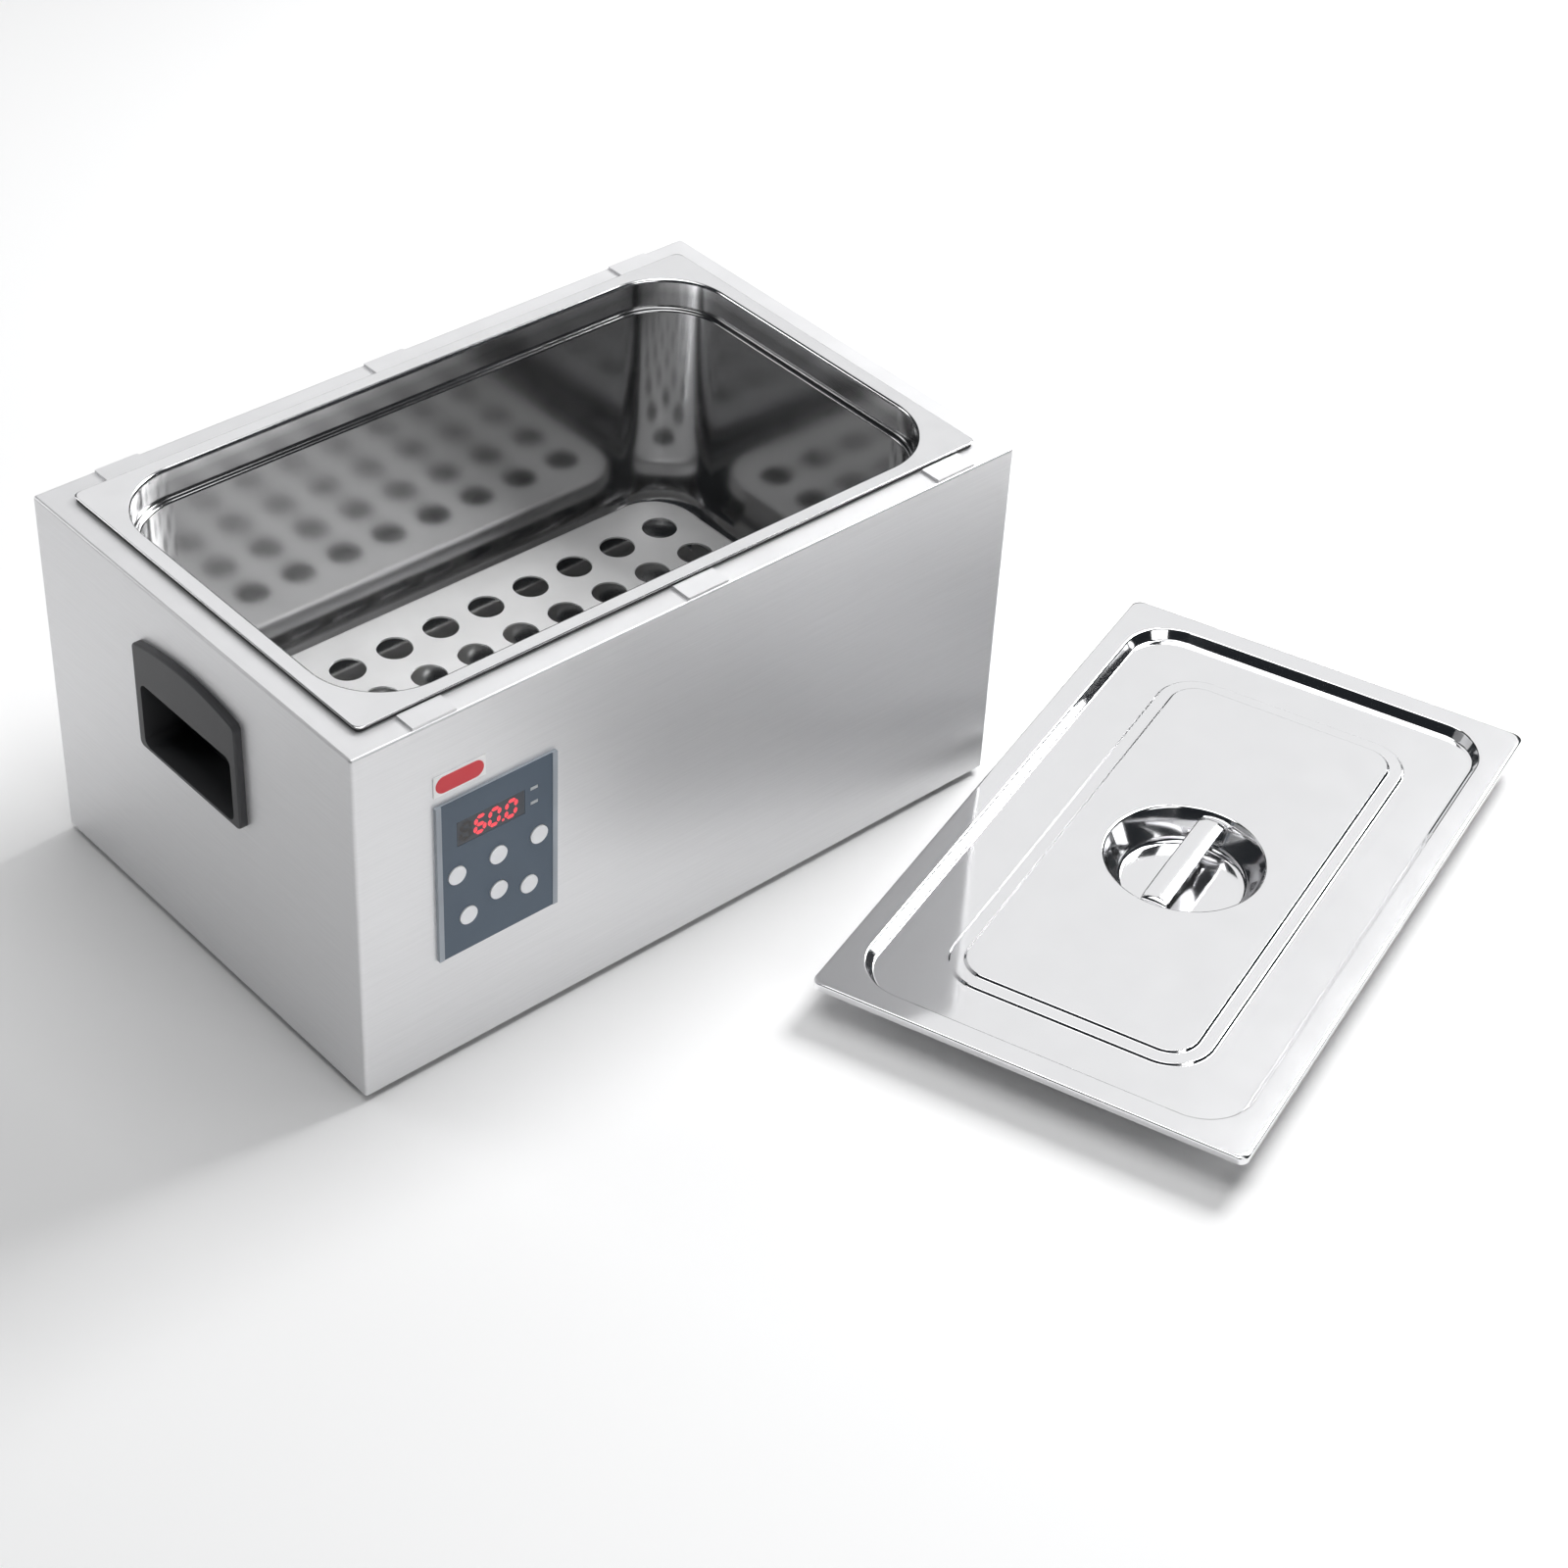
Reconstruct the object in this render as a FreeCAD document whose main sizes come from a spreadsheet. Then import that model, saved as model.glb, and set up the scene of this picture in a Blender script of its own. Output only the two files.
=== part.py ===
import FreeCAD, Part
import math
import os
import Sketcher
from FreeCAD import Placement, Rotation, Vector

# Countertop water bath for slow cooking, with its gastronorm lid lying on the floor beside it.
# Millimetres, +Z up. The origin is the centre of the bath's footprint on the floor, +X runs along
# the long side, and the control panel faces -Y.

DIMENSIONS = {
    # casing
    "casing_length": 568.0,
    "casing_width": 364.0,
    "casing_base": 6.0,
    "casing_top": 290.0,
    "sheet": 1.2,
    "bend": 2.5,
    "return_flange": 15.0,
    # tank, of gastronorm size 1/1
    "rim_length": 530.0,
    "rim_width": 325.0,
    "rim_radius": 5.0,
    "gasket": 3.0,
    "tank_sheet": 1.0,
    "tank_depth": 200.0,
    "mouth_length": 504.0,
    "mouth_width": 300.0,
    "mouth_radius": 55.0,
    "mouth_height": 24.0,
    "ledge": 4.5,
    "tank_fillet": 22.0,
    # perforated false bottom
    "plate_length": 440.0,
    "plate_width": 248.0,
    "plate_radius": 36.0,
    "plate_sheet": 1.5,
    "plate_top": 118.0,
    "plate_lip": 13.0,
    "hole_radius": 13.5,
    "hole_pitch_x": 41.4,
    "hole_pitch_y": 42.0,
    # lid
    "lid_top": 30.0,
    "lid_sheet": 0.8,
    "lid_radius": 7.0,
    "lid_lip": 6.0,
    "lid_border": 18.0,
    "lid_recess": 8.0,
    "lid_slope": 5.0,
    "field_length": 410.0,
    "field_width": 200.0,
    "field_inset": 11.0,
    "step_rise": 1.5,
    "step_slope": 1.5,
    "bowl_radius": 59.0,
    "bowl_floor_radius": 46.0,
    "strap_width": 20.0,
    "lid_x": 307.7,
    "lid_y": -367.2,
    "lid_turn": 19.1,
    # recessed handles
    "grip_length": 119.0,
    "grip_base": 157.0,
    "grip_side_top": 242.5,
    "grip_crown": 250.5,
    "grip_proud": 6.0,
    "cup_length": 109.0,
    "cup_depth": 28.0,
    "cup_wall": 2.0,
    "cup_base": 158.5,
    "cup_top": 215.0,
    # control panel
    "panel_x": -174.0,
    "panel_z": 157.5,
    "panel_width": 98.0,
    "panel_height": 130.0,
    "panel_proud": 2.8,
    "window_width": 90.0,
    "window_height": 122.0,
    "overlay_sheet": 0.6,
    "key_radius": 7.0,
    "key_gap": 0.4,
    "key_proud": 0.8,
    "display_width": 55.0,
    "display_height": 20.0,
    "display_x": -5.3,
    "display_z": 35.8,
    "lamp_x": 30.0,
    "board_gap": 12.0,
    "board_sheet": 1.6,
    # feet, inlet and electrics
    "foot_radius": 11.0,
    "foot_x": 258.0,
    "foot_y": 164.0,
    "inlet_x": 180.0,
    "inlet_z": 42.0,
    "inlet_width": 27.0,
    "inlet_height": 19.6,
    "inlet_pitch": 40.0,
    "heater_sheet": 2.0,
    "felt": 6.0,
}

# The keys' centres, measured from the centre of the panel along X and Z.
KEYS = {
    "key_temperature": (-33.5, 2.5),
    "key_timer": (0.0, 2.5),
    "key_start": (33.5, 2.5),
    "key_minus": (-25.0, -36.0),
    "key_set": (0.0, -27.5),
    "key_plus": (25.0, -36.0),
}

# Where the tabs that locate the tank's rim start along X, and their size.
TAB_STARTS = {"left": -236.0, "middle": -12.5, "right": 212.0}
TAB_LENGTH = 34.0
TAB_HEIGHT = 2.0
TAB_GAP = 1.0

doc = FreeCAD.newDocument("water_bath")
sheet = doc.addObject("Spreadsheet::Sheet", "Sizes")
subparts = []


class Size:
    """A length: its value in millimetres and the expression that ties it to the sheet."""

    def __init__(self, value, text):
        self.value = value
        self.text = text

    def join(self, other, sign, value):
        return Size(value, "(%s %s %s)" % (self.text, sign, as_size(other).text))

    def __add__(self, other):
        return self.join(other, "+", self.value + as_size(other).value)

    def __sub__(self, other):
        return self.join(other, "-", self.value - as_size(other).value)

    def __mul__(self, other):
        return self.join(other, "*", self.value * as_size(other).value)

    def __truediv__(self, other):
        return self.join(other, "/", self.value / as_size(other).value)

    def __neg__(self):
        return Size(-self.value, "(-1 * %s)" % self.text)

    def __radd__(self, other):
        return as_size(other) + self

    def __rsub__(self, other):
        return as_size(other) - self

    def __rmul__(self, other):
        return as_size(other) * self


def as_size(number):
    """Lets a plain number stand where a Size is wanted."""
    if isinstance(number, Size):
        return number
    return Size(float(number), "(%.6f)" % number)


def fill_sheet():
    """Writes the driving dimensions into the sheet and returns a Size for each."""
    sizes = {}
    for row, (name, value) in enumerate(DIMENSIONS.items(), start=1):
        sheet.set("A%d" % row, name)
        sheet.set("B%d" % row, "%g" % value)
        sheet.setAlias("B%d" % row, name)
        sizes[name] = Size(value, "Sizes." + name)
    doc.recompute()
    return sizes


def bind(item, prop, size):
    """Ties a property to the sheet."""
    item.setExpression(prop, as_size(size).text)


def keep(item, label):
    """Names a finished sub-part after its node."""
    item.Label = label
    subparts.append(item)
    return item


# ---------------------------------------------------------------- Part primitives

def box(name, low, high):
    """A box between two corners, each given as three sizes."""
    item = doc.addObject("Part::Box", name)
    for prop, axis, start, end in zip(("Length", "Width", "Height"), "xyz", low, high):
        bind(item, prop, as_size(end) - start)
        bind(item, "Placement.Base." + axis, start)
    return item


TURNS = {
    "z": Rotation(),
    "x": Rotation(Vector(0, 1, 0), 90),
    "y": Rotation(Vector(1, 0, 0), -90),
}


def cylinder(name, start, radius, length, axis="z"):
    """A cylinder from its start point along +X, +Y or +Z."""
    item = doc.addObject("Part::Cylinder", name)
    item.Placement = Placement(Vector(), TURNS[axis])
    bind(item, "Radius", radius)
    bind(item, "Height", length)
    for letter, place in zip("xyz", start):
        bind(item, "Placement.Base." + letter, place)
    return item


def fuse(name, items):
    joined = doc.addObject("Part::MultiFuse", name)
    joined.Shapes = items
    joined.Refine = True
    return joined


def group(name, items):
    """Separate solids that share one node."""
    cluster = doc.addObject("Part::Compound", name)
    cluster.Links = items
    return cluster


def cut(name, base, tools):
    """A base with one or more tools taken out of it."""
    tool = tools[0] if len(tools) == 1 else group(name + "_tools", tools)
    result = doc.addObject("Part::Cut", name)
    result.Base = base
    result.Tool = tool
    return result


# ---------------------------------------------------------------- PartDesign helpers

def new_body(label):
    return keep(doc.addObject("PartDesign::Body", label), label)


def sketch_on(body, name, plane, offset):
    """A sketch on one of the body's own origin planes, moved along the plane's normal."""
    sketch = body.newObject("Sketcher::SketchObject", name)
    support = next(item for item in body.Origin.OriginFeatures if item.Role == plane)
    sketch.AttachmentSupport = [(support, "")]
    sketch.MapMode = "FlatFace"
    bind(sketch, "AttachmentOffset.Base.z", offset)
    return sketch


def draw_rounded(sketch, length, width, radius, centre=(0.0, 0.0)):
    """A rounded rectangle about a centre, with its length, width and radius bound."""
    tag = "R%d" % sketch.GeometryCount
    half_l = as_size(length).value / 2
    half_w = as_size(width).value / 2
    r = as_size(radius).value
    cx, cy = (as_size(value).value for value in centre)
    corners = ((half_l, -half_w, -90), (half_l, half_w, 0), (-half_l, half_w, 90), (-half_l, -half_w, 180))
    arcs = []
    for x, y, turn in corners:
        middle = Vector(cx + x - math.copysign(r, x), cy + y - math.copysign(r, y), 0)
        circle = Part.Circle(middle, Vector(0, 0, 1), r)
        start = math.radians(turn)
        arcs.append(sketch.addGeometry(Part.ArcOfCircle(circle, start, start + math.pi / 2)))
    lines = []
    for one, two in zip(arcs, arcs[1:] + arcs[:1]):
        ends = sketch.Geometry[one].EndPoint, sketch.Geometry[two].StartPoint
        lines.append(sketch.addGeometry(Part.LineSegment(*ends)))
    for index, line in enumerate(lines):
        sketch.addConstraint(Sketcher.Constraint("Tangent", arcs[index], 2, line, 1))
        sketch.addConstraint(Sketcher.Constraint("Tangent", line, 2, arcs[(index + 1) % 4], 1))
    right, top, left, bottom = lines
    for line in (right, left):
        sketch.addConstraint(Sketcher.Constraint("Vertical", line))
    for line in (top, bottom):
        sketch.addConstraint(Sketcher.Constraint("Horizontal", line))
    for arc in arcs[1:]:
        sketch.addConstraint(Sketcher.Constraint("Equal", arcs[0], arc))
    place = {
        "radius": (Sketcher.Constraint("Radius", arcs[0], r), as_size(radius)),
        "x_high": (Sketcher.Constraint("DistanceX", -1, 1, right, 1, cx + half_l), centre[0] + as_size(length) / 2),
        "x_low": (Sketcher.Constraint("DistanceX", -1, 1, left, 1, cx - half_l), centre[0] - as_size(length) / 2),
        "y_high": (Sketcher.Constraint("DistanceY", -1, 1, top, 1, cy + half_w), centre[1] + as_size(width) / 2),
        "y_low": (Sketcher.Constraint("DistanceY", -1, 1, bottom, 1, cy - half_w), centre[1] - as_size(width) / 2),
    }
    bind_constraints(sketch, tag, place)


def bind_constraints(sketch, tag, place):
    """Adds dimension constraints, names them and ties them to the sheet."""
    for name, (constraint, size) in place.items():
        index = sketch.addConstraint(constraint)
        sketch.renameConstraint(index, tag + name)
        bind(sketch, "Constraints." + tag + name, size)


def draw_circle(sketch, radius, centre=(0.0, 0.0)):
    tag = "C%d" % sketch.GeometryCount
    cx, cy = (as_size(value).value for value in centre)
    index = sketch.addGeometry(Part.Circle(Vector(cx, cy, 0), Vector(0, 0, 1), as_size(radius).value))
    bind_constraints(sketch, tag, {
        "radius": (Sketcher.Constraint("Radius", index, as_size(radius).value), as_size(radius)),
        "x": (Sketcher.Constraint("DistanceX", -1, 1, index, 3, cx), as_size(centre[0])),
        "y": (Sketcher.Constraint("DistanceY", -1, 1, index, 3, cy), as_size(centre[1])),
    })


def draw_polygon(sketch, points):
    """A closed outline of straight lines through the points, each bound."""
    spots = [(as_size(x), as_size(y)) for x, y in points]
    lines = []
    for (x1, y1), (x2, y2) in zip(spots, spots[1:] + spots[:1]):
        ends = Vector(x1.value, y1.value, 0), Vector(x2.value, y2.value, 0)
        lines.append(sketch.addGeometry(Part.LineSegment(*ends)))
    for line, after in zip(lines, lines[1:] + lines[:1]):
        sketch.addConstraint(Sketcher.Constraint("Coincident", line, 2, after, 1))
    for number, (line, (x, y)) in enumerate(zip(lines, spots)):
        bind_constraints(sketch, "P%d" % number, {
            "x": (Sketcher.Constraint("DistanceX", -1, 1, line, 1, x.value), x),
            "y": (Sketcher.Constraint("DistanceY", -1, 1, line, 1, y.value), y),
        })


def pad(body, name, sketch, length, both=False):
    """Adds the sketch's outline along its normal, or half each way."""
    feature = body.newObject("PartDesign::Pad", name)
    feature.Profile = sketch
    bind(feature, "Length", length)
    feature.Midplane = both
    return feature


def pocket(body, name, sketch, length, forward=False, both=False):
    """Takes the sketch's outline away, against its normal, or along it when forward."""
    doc.recompute()
    before = body.Shape.Volume
    feature = body.newObject("PartDesign::Pocket", name)
    feature.Profile = sketch
    bind(feature, "Length", length)
    feature.Reversed = forward
    feature.Midplane = both
    doc.recompute()
    if not body.Shape.Volume < before - 1.0:
        raise RuntimeError("%s takes nothing away" % name)
    return feature


def loft(body, name, low, high, subtract=False):
    """A ruled transition between two sketches."""
    kind = "PartDesign::SubtractiveLoft" if subtract else "PartDesign::AdditiveLoft"
    feature = body.newObject(kind, name)
    feature.Profile = low
    feature.Sections = [high]
    feature.Ruled = True
    return feature


def fillet(body, name, radius, chosen):
    """Rounds the edges of the tip that the test picks."""
    doc.recompute()
    tip = body.Tip
    names = ["Edge%d" % number for number, edge in enumerate(tip.Shape.Edges, start=1) if chosen(edge)]
    if not names:
        raise RuntimeError("%s finds no edge" % name)
    feature = body.newObject("PartDesign::Fillet", name)
    feature.Base = (tip, names)
    bind(feature, "Radius", radius)
    return feature


def level_at(height):
    """Picks the edges that lie flat at one height."""
    def test(edge):
        bounds = edge.BoundBox
        return abs(bounds.ZMin - height) < 1e-4 and abs(bounds.ZMax - height) < 1e-4
    return test


def tube(label, points, bend, radius):
    """A round lead: straight runs joined by tangent arcs, swept as one solid."""
    route = [Vector(*(as_size(value).value for value in point)) for point in points]
    edges = []
    start = route[0]
    for before, corner, after in zip(route, route[1:], route[2:]):
        into = (corner - before).normalize()
        out = (after - corner).normalize()
        turn = into.getAngle(out)
        reach = bend * math.tan(turn / 2)
        first = corner - into * reach
        last = corner + out * reach
        inward = (out - into).normalize()
        middle = corner + inward * (bend / math.cos(turn / 2) - bend)
        edges.append(Part.LineSegment(start, first).toShape())
        edges.append(Part.Arc(first, middle, last).toShape())
        start = last
    edges.append(Part.LineSegment(start, route[-1]).toShape())
    path = Part.Wire(edges)
    profile = Part.Wire(Part.makeCircle(radius, route[0], route[1] - route[0]))
    item = doc.addObject("Part::Feature", label)
    item.Shape = path.makePipeShell([profile], True, False)
    wanted = math.pi * radius ** 2 * path.Length
    if abs(item.Shape.Volume - wanted) > 0.02 * wanted:
        raise RuntimeError("%s is not swept whole" % label)
    return keep(item, label)


d = fill_sheet()
front = -d["casing_width"] / 2
back = d["casing_width"] / 2
left = -d["casing_length"] / 2
rim_top = d["casing_top"] + d["gasket"] + d["tank_sheet"]
tank_floor = rim_top - d["tank_depth"]
tank_under = tank_floor - d["tank_sheet"]
ledge_height = rim_top - d["mouth_height"]
well_length = d["mouth_length"] - 2 * d["ledge"]
well_width = d["mouth_width"] - 2 * d["ledge"]
well_radius = d["mouth_radius"] - d["ledge"]
shell_side = d["tank_sheet"] + well_width / 2
base_top = d["casing_base"]
board_front = front + d["board_gap"]


# ---------------------------------------------------------------- casing and base

def outer_casing():
    """The folded shell: four walls, the flange under the rim and the flange that takes the base."""
    body = new_body("outer_casing")
    walls = sketch_on(body, "casing_outline", "XY_Plane", d["casing_base"])
    draw_rounded(walls, d["casing_length"], d["casing_width"], d["bend"])
    pad(body, "casing_walls", walls, d["casing_top"] - d["casing_base"])
    fillet(body, "casing_bend", d["bend"] - 0.5, level_at(DIMENSIONS["casing_top"]))
    inside = sketch_on(body, "casing_inside", "XY_Plane", d["casing_top"] - d["sheet"])
    inner_length = d["casing_length"] - 2 * d["sheet"]
    inner_width = d["casing_width"] - 2 * d["sheet"]
    draw_rounded(inside, inner_length, inner_width, d["bend"] - d["sheet"])
    pocket(body, "casing_hollow", inside, d["casing_top"] - d["casing_base"] - 2 * d["sheet"])
    mouth = sketch_on(body, "casing_mouth", "XY_Plane", d["casing_top"])
    draw_rounded(mouth, d["mouth_length"] + 8, d["mouth_width"] + 8, d["mouth_radius"] + 4)
    pocket(body, "casing_opening", mouth, d["sheet"])
    under = sketch_on(body, "casing_under", "XY_Plane", d["casing_base"] + d["sheet"])
    edge = 2 * d["return_flange"]
    draw_rounded(under, d["casing_length"] - edge, d["casing_width"] - edge, 4)
    pocket(body, "casing_underside", under, d["sheet"])
    sides = sketch_on(body, "cup_outlines", "YZ_Plane", 0)
    cup_height = d["cup_top"] - d["cup_base"]
    cup_middle = (d["cup_top"] + d["cup_base"]) / 2
    draw_rounded(sides, d["cup_length"] + 1, cup_height + 1, 4, (0.0, cup_middle))
    pocket(body, "cup_cutouts", sides, d["casing_length"] + 20, both=True)
    window = sketch_on(body, "panel_window", "XZ_Plane", -front)
    draw_rounded(window, d["window_width"], d["window_height"], 3, (d["panel_x"], d["panel_z"]))
    pocket(body, "panel_cutout", window, 3 * d["sheet"])
    rear = sketch_on(body, "inlet_outline", "XZ_Plane", -back)
    draw_rounded(rear, d["inlet_width"] + 1, d["inlet_height"] + 1, 1, (d["inlet_x"], d["inlet_z"]))
    for side in (-1, 1):
        draw_circle(rear, 1.75, (d["inlet_x"] + side * d["inlet_pitch"] / 2, d["inlet_z"]))
    pocket(body, "inlet_cutout", rear, 3 * d["sheet"], forward=True)


def foot_places():
    return {
        "front_left": (-d["foot_x"], -d["foot_y"]),
        "front_right": (d["foot_x"], -d["foot_y"]),
        "back_left": (-d["foot_x"], d["foot_y"]),
        "back_right": (d["foot_x"], d["foot_y"]),
    }


def base_plate():
    """The flat base under the casing's flange, with slots that let the electronics breathe."""
    margin = 2.0
    low = (left + margin, front + margin, d["casing_base"] - d["sheet"])
    high = (-left - margin, back - margin, d["casing_base"])
    blank = box("base_blank", low, high)
    tools = []
    slot_length = 46.0
    slot_width = 5.0
    for row in range(2):
        for number in range(7):
            x = -210 + 14 * number
            y = -70 + 80 * row
            corner = (x, y, low[2] - 1)
            tools.append(box("vent_slot", corner, (x + slot_width, y + slot_length, high[2] + 1)))
    for x, y in foot_places().values():
        tools.append(cylinder("foot_hole", (x, y, low[2] - 1), 2.1, d["sheet"] + 2))
    keep(cut("base_plate", blank, tools), "base_plate")


def feet():
    """Four rubber feet, each held by a screw from below into a clip nut."""
    screws = []
    height = d["casing_base"] - d["sheet"]
    for place, (x, y) in foot_places().items():
        pad_body = cylinder("foot_pad", (x, y, 0), d["foot_radius"], height)
        well = cylinder("foot_well", (x, y, -1), 4.6, 3.2)
        hole = cylinder("foot_bore", (x, y, 1), 2.1, height)
        keep(cut("foot_" + place, pad_body, [well, hole]), "foot_" + place)
        head = cylinder("foot_screw_head", (x, y, 0.6), 4.0, 1.6)
        shank = cylinder("foot_screw_shank", (x, y, 2.0), 2.0, height + d["sheet"] + 4)
        screws.append(fuse("foot_screw", [head, shank]))
    keep(group("foot_screws", screws), "foot_screws")


def base_screws():
    """Screws that hold the base plate up against the casing's flange."""
    screws = []
    inset = 9.0
    places = []
    for x in (-180, -60, 60, 180):
        places += [(x, front + inset), (x, back - inset)]
    for y in (-70, 70):
        places += [(left + inset, y), (-left - inset, y)]
    for x, y in places:
        low = d["casing_base"] - d["sheet"] - 1.6
        screws.append(cylinder("base_screw", (x, y, low), 3.2, 1.6))
    keep(group("base_screws", screws), "base_screws")


# ---------------------------------------------------------------- tank

def tank():
    """The deep-drawn tank: rim, mouth, stacking ledge, well and rounded floor."""
    body = new_body("tank")
    wall = d["tank_sheet"]
    rim = sketch_on(body, "rim_outline", "XY_Plane", rim_top - wall)
    draw_rounded(rim, d["rim_length"], d["rim_width"], d["rim_radius"])
    pad(body, "rim", rim, wall)
    mouth = sketch_on(body, "mouth_outside", "XY_Plane", ledge_height - wall)
    draw_rounded(mouth, d["mouth_length"] + 2 * wall, d["mouth_width"] + 2 * wall, d["mouth_radius"] + wall)
    pad(body, "mouth_block", mouth, d["mouth_height"])
    well = sketch_on(body, "well_outside", "XY_Plane", tank_under)
    draw_rounded(well, well_length + 2 * wall, well_width + 2 * wall, well_radius + wall)
    pad(body, "well_block", well, ledge_height - tank_under)
    mouth_cut = sketch_on(body, "mouth_inside", "XY_Plane", rim_top)
    draw_rounded(mouth_cut, d["mouth_length"], d["mouth_width"], d["mouth_radius"])
    pocket(body, "mouth_hollow", mouth_cut, d["mouth_height"])
    well_cut = sketch_on(body, "well_inside", "XY_Plane", ledge_height)
    draw_rounded(well_cut, well_length, well_width, well_radius)
    pocket(body, "well_hollow", well_cut, ledge_height - tank_floor)
    fillet(body, "well_floor", d["tank_fillet"], level_at(tank_floor.value))
    fillet(body, "well_bottom", d["tank_fillet"] + wall, level_at(tank_under.value))
    lip = level_at(rim_top.value)

    def mouth_edge(edge):
        return lip(edge) and edge.BoundBox.XMax < DIMENSIONS["mouth_length"] / 2 + 1 and \
            edge.BoundBox.XMin > -DIMENSIONS["mouth_length"] / 2 - 1 and \
            abs(edge.BoundBox.YMin) < DIMENSIONS["mouth_width"] / 2 + 1 and \
            abs(edge.BoundBox.YMax) < DIMENSIONS["mouth_width"] / 2 + 1

    fillet(body, "mouth_edge", d["tank_sheet"] * 0.8, mouth_edge)


def rim_gasket():
    """The flat seal between the casing's flange and the tank's rim."""
    body = new_body("rim_gasket")
    outline = sketch_on(body, "gasket_outline", "XY_Plane", d["casing_top"])
    draw_rounded(outline, d["rim_length"] - 2, d["rim_width"] - 2, d["rim_radius"] - 1)
    draw_rounded(outline, d["mouth_length"] + 8, d["mouth_width"] + 8, d["mouth_radius"] + 4)
    pad(body, "gasket_ring", outline, d["gasket"])


def rim_tabs():
    """Six raised tabs on the long flanges, which locate the rim of the tank."""
    for side, sign in (("front", -1), ("back", 1)):
        for place, start in TAB_STARTS.items():
            outer = sign * (d["casing_width"] / 2 - 1.5)
            inner = sign * (d["rim_width"] / 2 + TAB_GAP)
            low_y, high_y = (outer, inner) if sign < 0 else (inner, outer)
            low = (start, low_y, d["casing_top"])
            high = (start + TAB_LENGTH, high_y, d["casing_top"] + TAB_HEIGHT)
            name = "rim_tab_%s_%s" % (side, place)
            keep(box(name, low, high), name)


def heaters():
    """Silicone heating mats bonded to the long walls and the floor of the tank."""
    thick = d["heater_sheet"]
    for name, sign in (("front_heater", -1), ("back_heater", 1)):
        near = sign * shell_side
        far = sign * (shell_side + thick)
        low_y, high_y = (far, near) if sign < 0 else (near, far)
        keep(box(name, (-180, low_y, 125), (180, high_y, 235)), name)
    keep(box("bottom_heater", (-200, -95, tank_under - thick), (200, 95, tank_under)), "bottom_heater")


def insulation():
    """Felt around the tank and under its floor heater."""
    body = new_body("tank_insulation")
    ring = sketch_on(body, "felt_outline", "XY_Plane", 96)
    inner_length = well_length + 2 * d["tank_sheet"] + 1
    inner_width = 2 * (shell_side + d["heater_sheet"]) + 0.4
    draw_rounded(ring, inner_length + 2 * d["felt"], inner_width + 12, 56)
    draw_rounded(ring, inner_length, inner_width, 50)
    pad(body, "felt_ring", ring, 160)
    top = tank_under - d["heater_sheet"] - 0.2
    keep(box("base_insulation", (-205, -100, top - d["felt"]), (205, 100, top)), "base_insulation")


# ---------------------------------------------------------------- false bottom

def false_bottom():
    """The perforated plate that keeps the food off the heated floor, on four folded legs."""
    body = new_body("false_bottom")
    gauge = d["plate_sheet"]
    block = sketch_on(body, "plate_outline", "XY_Plane", d["plate_top"] - d["plate_lip"])
    draw_rounded(block, d["plate_length"], d["plate_width"], d["plate_radius"])
    pad(body, "plate_block", block, d["plate_lip"])
    fillet(body, "plate_bend", 3, level_at(DIMENSIONS["plate_top"]))
    inside = sketch_on(body, "plate_inside", "XY_Plane", d["plate_top"] - gauge)
    draw_rounded(inside, d["plate_length"] - 2 * gauge, d["plate_width"] - 2 * gauge, d["plate_radius"] - gauge)
    pocket(body, "plate_hollow", inside, d["plate_lip"] - gauge)
    fillet(body, "plate_inner_bend", 1.5, level_at(DIMENSIONS["plate_top"] - DIMENSIONS["plate_sheet"]))
    holes = sketch_on(body, "hole_grid", "XY_Plane", d["plate_top"])
    for column in range(10):
        for row in range(5):
            x = d["hole_pitch_x"] * (column - 4.5)
            y = d["hole_pitch_y"] * (row - 2)
            draw_circle(holes, d["hole_radius"], (x, y))
    pocket(body, "holes", holes, gauge)
    legs = sketch_on(body, "leg_outlines", "XY_Plane", tank_floor + 0.3)
    for x_sign in (-1, 1):
        for y_sign in (-1, 1):
            x = x_sign * (d["plate_length"] / 2 - gauge / 2)
            draw_rounded(legs, gauge, 30, 0.6, (x, y_sign * 68))
    pad(body, "legs", legs, d["plate_top"] - d["plate_lip"] - tank_floor)


# ---------------------------------------------------------------- lid

def place_lid(item):
    """Lays a lid piece, drawn about the origin, where the lid lies."""
    item.Placement = Placement(Vector(), Rotation(Vector(0, 0, 1), DIMENSIONS["lid_turn"]))
    bind(item, "Placement.Base.x", d["lid_x"])
    bind(item, "Placement.Base.y", d["lid_y"])


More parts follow.
